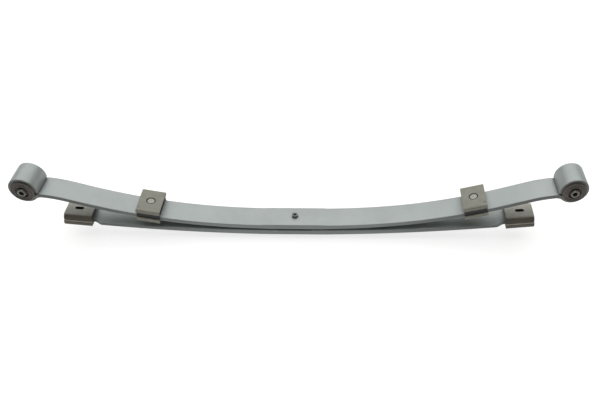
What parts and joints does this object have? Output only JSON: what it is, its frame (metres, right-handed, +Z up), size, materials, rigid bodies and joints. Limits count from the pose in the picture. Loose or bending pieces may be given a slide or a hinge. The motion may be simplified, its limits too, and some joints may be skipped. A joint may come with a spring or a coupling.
{
  "type": "leaf spring",
  "caption": "Two-leaf parabolic suspension spring with upturned rolled eyes, rubber bushes, rubber-lined clips, slip-on end shoes and a centre bolt.",
  "frame": {"origin": "on the centre bolt's axis, at the top seat face of the main leaf", "axes": "+X along the spring towards its rear eye, +Y across the leaves' width, +Z up, square to the seat"},
  "size_m": [1.249, 0.078, 0.1741],
  "materials": {
    "leaf_steel": "satin grey paint",
    "spacer_plate": "satin dark paint",
    "fastener_steel": "zinc plated",
    "bush_steel": "bare steel",
    "bush_rubber": "matte",
    "sleeve_steel": "machined",
    "clip_rubber": "matte",
    "dowel_steel": "satin",
    "clip_paint": "matte olive grey",
    "shoe_polymer": "matte olive grey"
  },
  "bodies": {
    "centre": {"main_leaf_centre": "leaf_steel", "second_leaf_centre": "leaf_steel", "interleaf_spacer": "spacer_plate", "centre_bolt": "fastener_steel", "centre_nut": "fastener_steel"},
    "front_arm": {"main_leaf_front_arm": "leaf_steel", "front_bush_shell": "bush_steel", "front_bush_rubber": "bush_rubber", "front_clip_upper_plate": "clip_paint", "front_clip_liner": "clip_rubber", "front_clip_lower_plate": "clip_paint", "front_clip_dowel": "dowel_steel"},
    "rear_arm": {"main_leaf_rear_arm": "leaf_steel", "rear_bush_shell": "bush_steel", "rear_bush_rubber": "bush_rubber", "rear_clip_upper_plate": "clip_paint", "rear_clip_liner": "clip_rubber", "rear_clip_lower_plate": "clip_paint", "rear_clip_dowel": "dowel_steel"},
    "front_helper": {"second_leaf_front_arm": "leaf_steel", "front_end_shoe": "shoe_polymer"},
    "rear_helper": {"second_leaf_rear_arm": "leaf_steel", "rear_end_shoe": "shoe_polymer"},
    "front_sleeve": {"front_bush_sleeve": "sleeve_steel"},
    "rear_sleeve": {"rear_bush_sleeve": "sleeve_steel"}
  },
  "joints": [
    {"name": "front_bend", "type": "hinge", "parent": "centre", "child": "front_arm", "pos_m": [-0.19, 0, 0.00026], "axis": [0, -1, 0], "range_deg": [-2, 14], "stiffness_Nm_per_rad": 4500},
    {"name": "rear_bend", "type": "hinge", "parent": "centre", "child": "rear_arm", "pos_m": [0.19, 0, 0.00026], "axis": [0, 1, 0], "range_deg": [-2, 14], "stiffness_Nm_per_rad": 4500},
    {"name": "front_helper_bend", "type": "hinge", "parent": "centre", "child": "front_helper", "pos_m": [-0.16, 0, -0.0206], "axis": [0, -1, 0], "range_deg": [-0.95, 6.6], "stiffness_Nm_per_rad": 5000},
    {"name": "rear_helper_bend", "type": "hinge", "parent": "centre", "child": "rear_helper", "pos_m": [0.16, 0, -0.0206], "axis": [0, 1, 0], "range_deg": [-0.95, 6.6], "stiffness_Nm_per_rad": 5000},
    {"name": "front_bush_twist", "type": "hinge", "parent": "front_arm", "child": "front_sleeve", "pos_m": [-0.584, 0, 0.09636], "axis": [0, 1, 0], "range_deg": [-20, 20], "stiffness_Nm_per_rad": 60},
    {"name": "rear_bush_twist", "type": "hinge", "parent": "rear_arm", "child": "rear_sleeve", "pos_m": [0.604, 0, 0.10316], "axis": [0, 1, 0], "range_deg": [-20, 20], "stiffness_Nm_per_rad": 60}
  ],
  "couplings": [
    {"joint": "front_helper_bend", "follows": "front_bend", "ratio": 0.47},
    {"joint": "rear_helper_bend", "follows": "rear_bend", "ratio": 0.47}
  ]
}
